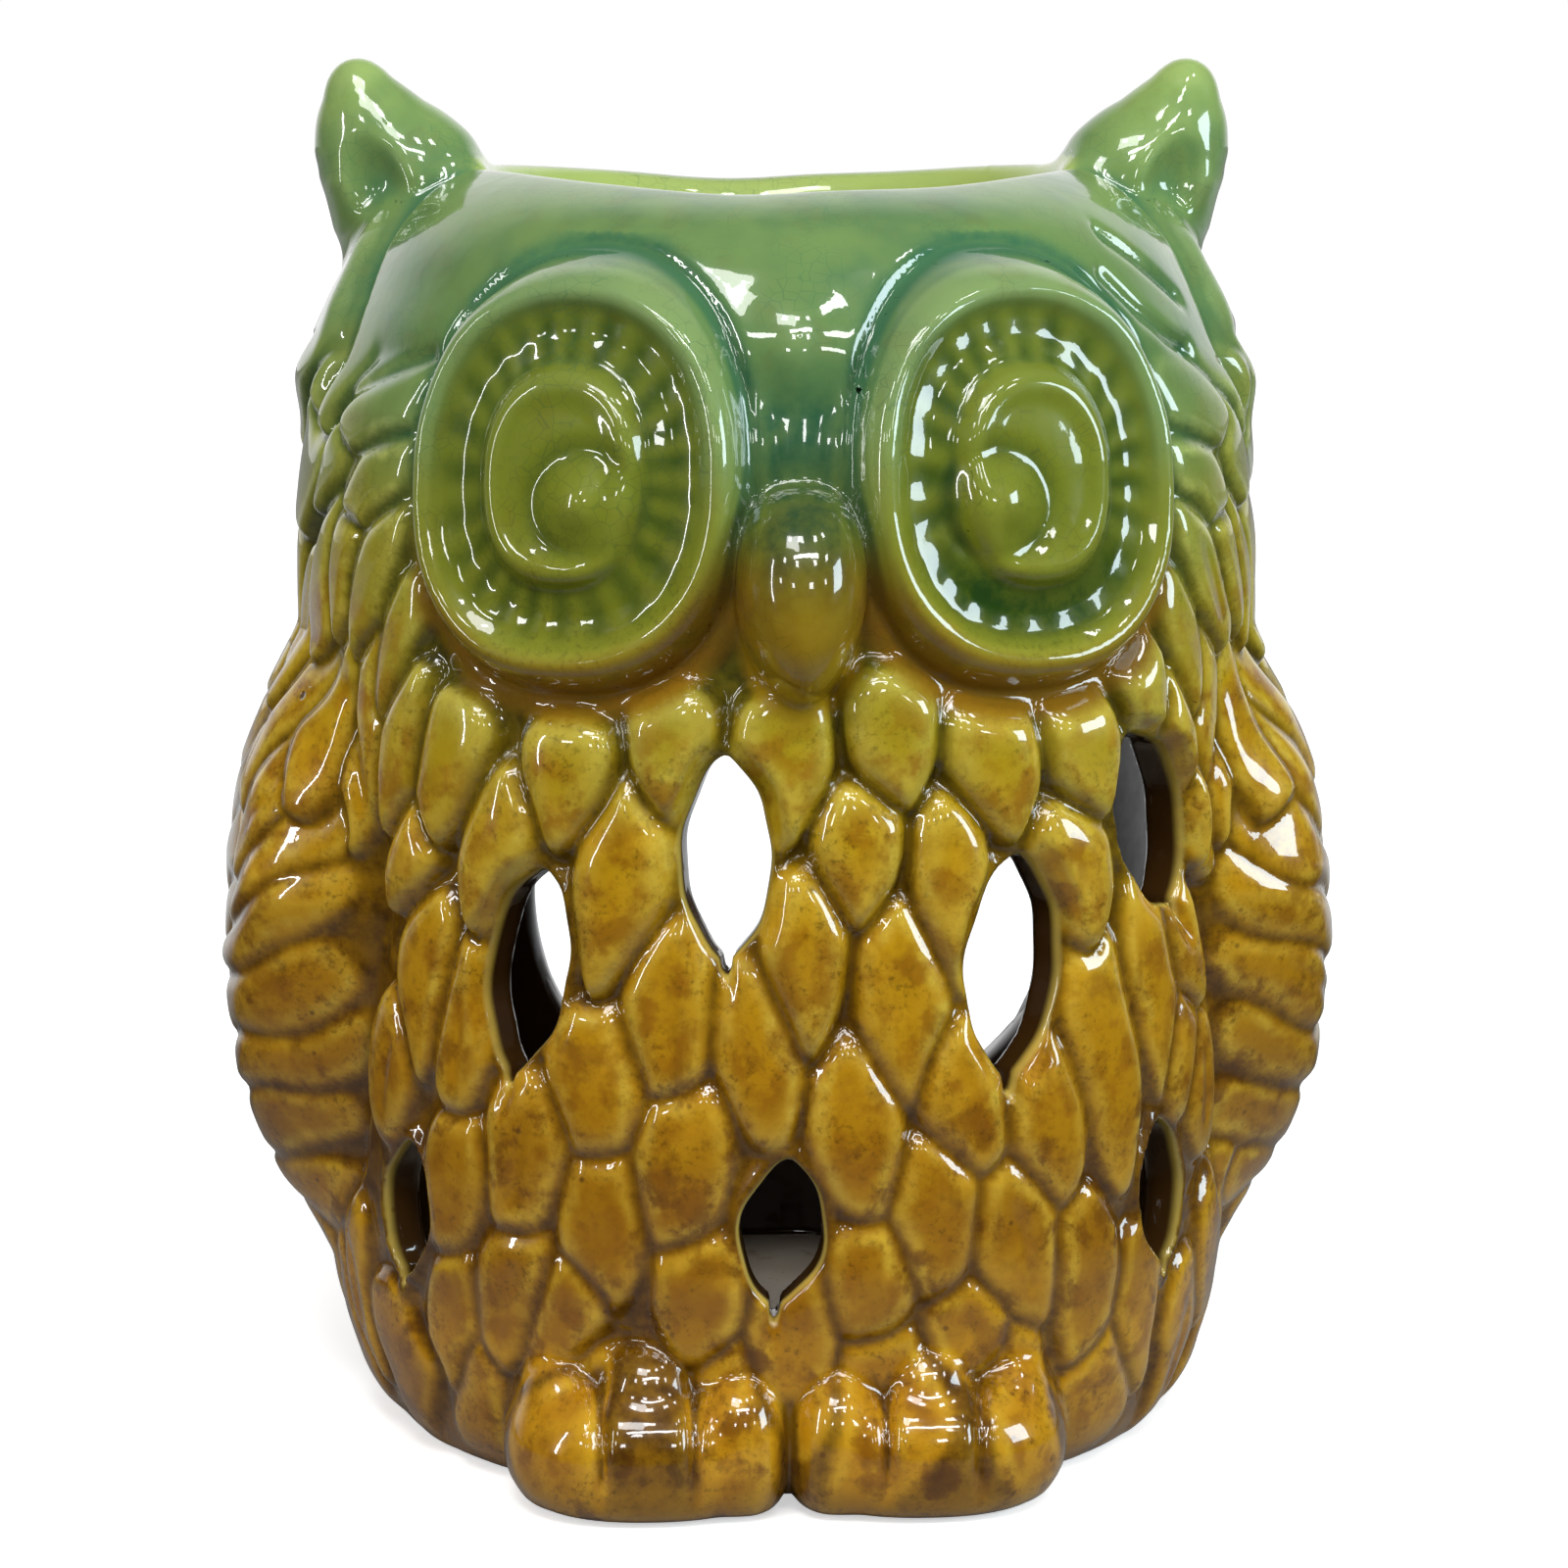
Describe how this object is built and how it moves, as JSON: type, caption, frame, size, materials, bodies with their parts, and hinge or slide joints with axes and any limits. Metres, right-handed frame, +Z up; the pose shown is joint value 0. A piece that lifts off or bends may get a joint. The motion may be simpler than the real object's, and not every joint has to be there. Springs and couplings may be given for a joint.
{
  "type": "owl oil burner figurine",
  "caption": "Hollow ceramic owl figurine with pierced leaf windows, a dished bowl in its crown and a round opening at the back for a tea light.",
  "frame": {"origin": "centre of the flat underside, where the owl stands", "axes": "+Z up, the owl looks along -Y, +X towards the owl's own left"},
  "size_m": [0.1182, 0.1042, 0.1424],
  "materials": {
    "green_glaze": "glossy crackled green glaze, darker where it pools",
    "olive_glaze": "glossy olive glaze where green runs into amber",
    "amber_glaze": "glossy mottled amber glaze, cream where it thins",
    "bare_clay": "matt unglazed pale clay"
  },
  "bodies": {
    "root": {"base_plate": "bare_clay", "body_shell": "amber_glaze", "head_shell": "green_glaze", "oil_bowl": "green_glaze", "beak": "olive_glaze", "left_ear": "green_glaze", "right_ear": "green_glaze", "left_eye": "olive_glaze", "right_eye": "olive_glaze", "left_pupil": "olive_glaze", "right_pupil": "olive_glaze", "left_wing": "amber_glaze", "right_wing": "amber_glaze", "left_foot": "amber_glaze", "right_foot": "amber_glaze"}
  },
  "joints": []
}
